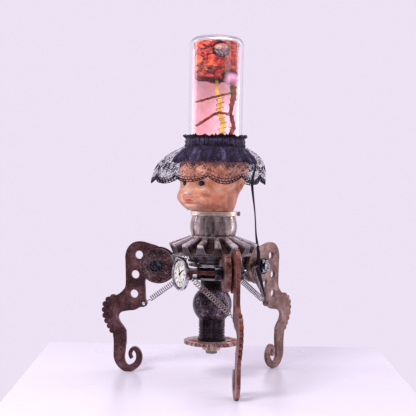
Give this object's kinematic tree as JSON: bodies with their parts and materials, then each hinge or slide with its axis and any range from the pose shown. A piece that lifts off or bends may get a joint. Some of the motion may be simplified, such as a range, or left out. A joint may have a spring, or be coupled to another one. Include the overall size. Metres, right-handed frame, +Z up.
{
  "type": "fortune teller machine",
  "caption": "Tabletop figure: a doll's head under an upturned jar, lace veil and bevel gear, on a turned column with three sprung pivoting plate legs and a hanging dial.",
  "frame": {"origin": "middle of the footprint's bounding box, on the surface the feet stand on", "axes": "+Z up along the column; the camera of the picture looks along +Y, with +X to its right"},
  "size_m": [0.2137, 0.2116, 0.3602],
  "materials": {
    "rod_steel": "dull steel",
    "brass_nut": "tarnished brass",
    "rusty_sprocket": "steel with rust",
    "column_steel": "turned steel",
    "dark_steel": "oiled dark steel",
    "black_steel": "blackened",
    "light_plate": "zinc plated",
    "brown_iron": "brown rust",
    "gear_steel": "machined steel, rust in the gaps",
    "cup_steel": "turned and tarnished",
    "brass_ring": "pale brass",
    "cast_silver": "cast, blackened recesses",
    "rust_brown": "dark rust",
    "rust_red": "red-brown rust",
    "worn_brown": "worn rust",
    "bolt_steel": "socket screw steel",
    "spring_steel": "drawn wire",
    "wire_dark": "dark wire",
    "dial_chrome": "worn chrome",
    "dial_white": "enamel",
    "black_hands": "blued",
    "plug_wood": "turned",
    "doll_skin": "old moulded skin",
    "doll_eye": "glassy",
    "jar_glass": "clear",
    "pink_paper": "printed paper",
    "orange_paper": "crumpled tissue",
    "dark_pod": "ribbed seed pod",
    "yellow_paper": "cut card",
    "coil_copper": "thin wire",
    "twig_wood": "bark and moss",
    "pink_bead": "pearl",
    "black_satin": "satin",
    "black_lace": "openwork lace"
  },
  "bodies": {
    "stand": {"center_rod": "rod_steel", "flange_nut": "brass_nut", "sprocket": "rusty_sprocket", "base_flange": "column_steel", "column_neck": "column_steel", "column_ball": "dark_steel", "column_barrel": "black_steel", "lower_plate": "light_plate", "hub_spacers": "black_steel", "spider": "brown_iron", "upper_flange": "light_plate", "grooved_collar": "gear_steel", "bevel_gear": "gear_steel", "steel_cup": "cup_steel", "rod_nut": "rod_steel", "thrust_washer": "brass_ring", "neck_ring": "brass_ring", "ring_screw": "light_plate", "arm_brackets": "cast_silver", "lug_disc_left": "dark_steel", "lug_disc_front": "brown_iron", "lug_disc_right": "dark_steel", "pivot_bolts": "bolt_steel", "pivot_spacers": "black_steel", "pivot_washers": "bolt_steel", "pivot_nuts": "bolt_steel", "spring_left": "spring_steel", "spring_front": "spring_steel", "spring_right": "spring_steel", "dial_hook": "wire_dark", "ribbon_knot": "black_satin"},
    "left_leg": {"leg_left": "rust_brown"},
    "front_leg": {"leg_front": "rust_red"},
    "right_leg": {"leg_right": "worn_brown"},
    "dial": {"dial_bow": "wire_dark", "dial_case": "dial_chrome", "dial_face": "dial_white", "dial_hands": "black_hands"},
    "head": {"neck_plug": "plug_wood", "doll_head": "doll_skin", "doll_eyes": "doll_eye", "glass_jar": "jar_glass", "jar_liner": "pink_paper", "orange_tissue": "orange_paper", "seed_pod": "dark_pod", "yellow_stem": "yellow_paper", "wire_coil": "coil_copper", "main_twig": "twig_wood", "cross_twigs": "twig_wood", "bead": "pink_bead", "lace_band": "black_satin", "lace_ruffle": "black_lace", "lace_veil": "black_lace", "ribbon": "black_satin"}
  },
  "joints": [
    {"name": "left_leg_pivot", "type": "hinge", "parent": "stand", "child": "left_leg", "pos_m": [-0.04702, 0.02822, 0.1177], "axis": [0.1736, 0.9848, 0], "range_deg": [-8, 12], "deforming": ["spring_left"]},
    {"name": "front_leg_pivot", "type": "hinge", "parent": "stand", "child": "front_leg", "pos_m": [0.02051, -0.04421, 0.1177], "axis": [-0.9945, -0.1045, 0], "range_deg": [-8, 12], "deforming": ["spring_front"]},
    {"name": "right_leg_pivot", "type": "hinge", "parent": "stand", "child": "right_leg", "pos_m": [0.05389, 0.06495, 0.1177], "axis": [0.766, -0.6428, 0], "range_deg": [-8, 12], "deforming": ["spring_right"]},
    {"name": "dial_swing", "type": "hinge", "parent": "stand", "child": "dial", "pos_m": [-0.01466, 0.00219, 0.12915], "axis": [-0.4695, 0.8829, 0], "range_deg": [-5, 12]},
    {"name": "head_turn", "type": "hinge", "parent": "stand", "child": "head", "pos_m": [0.01403, 0.01745, 0.167], "axis": [0, 0, 1], "range_deg": [-15, 15], "deforming": ["ribbon"]}
  ]
}
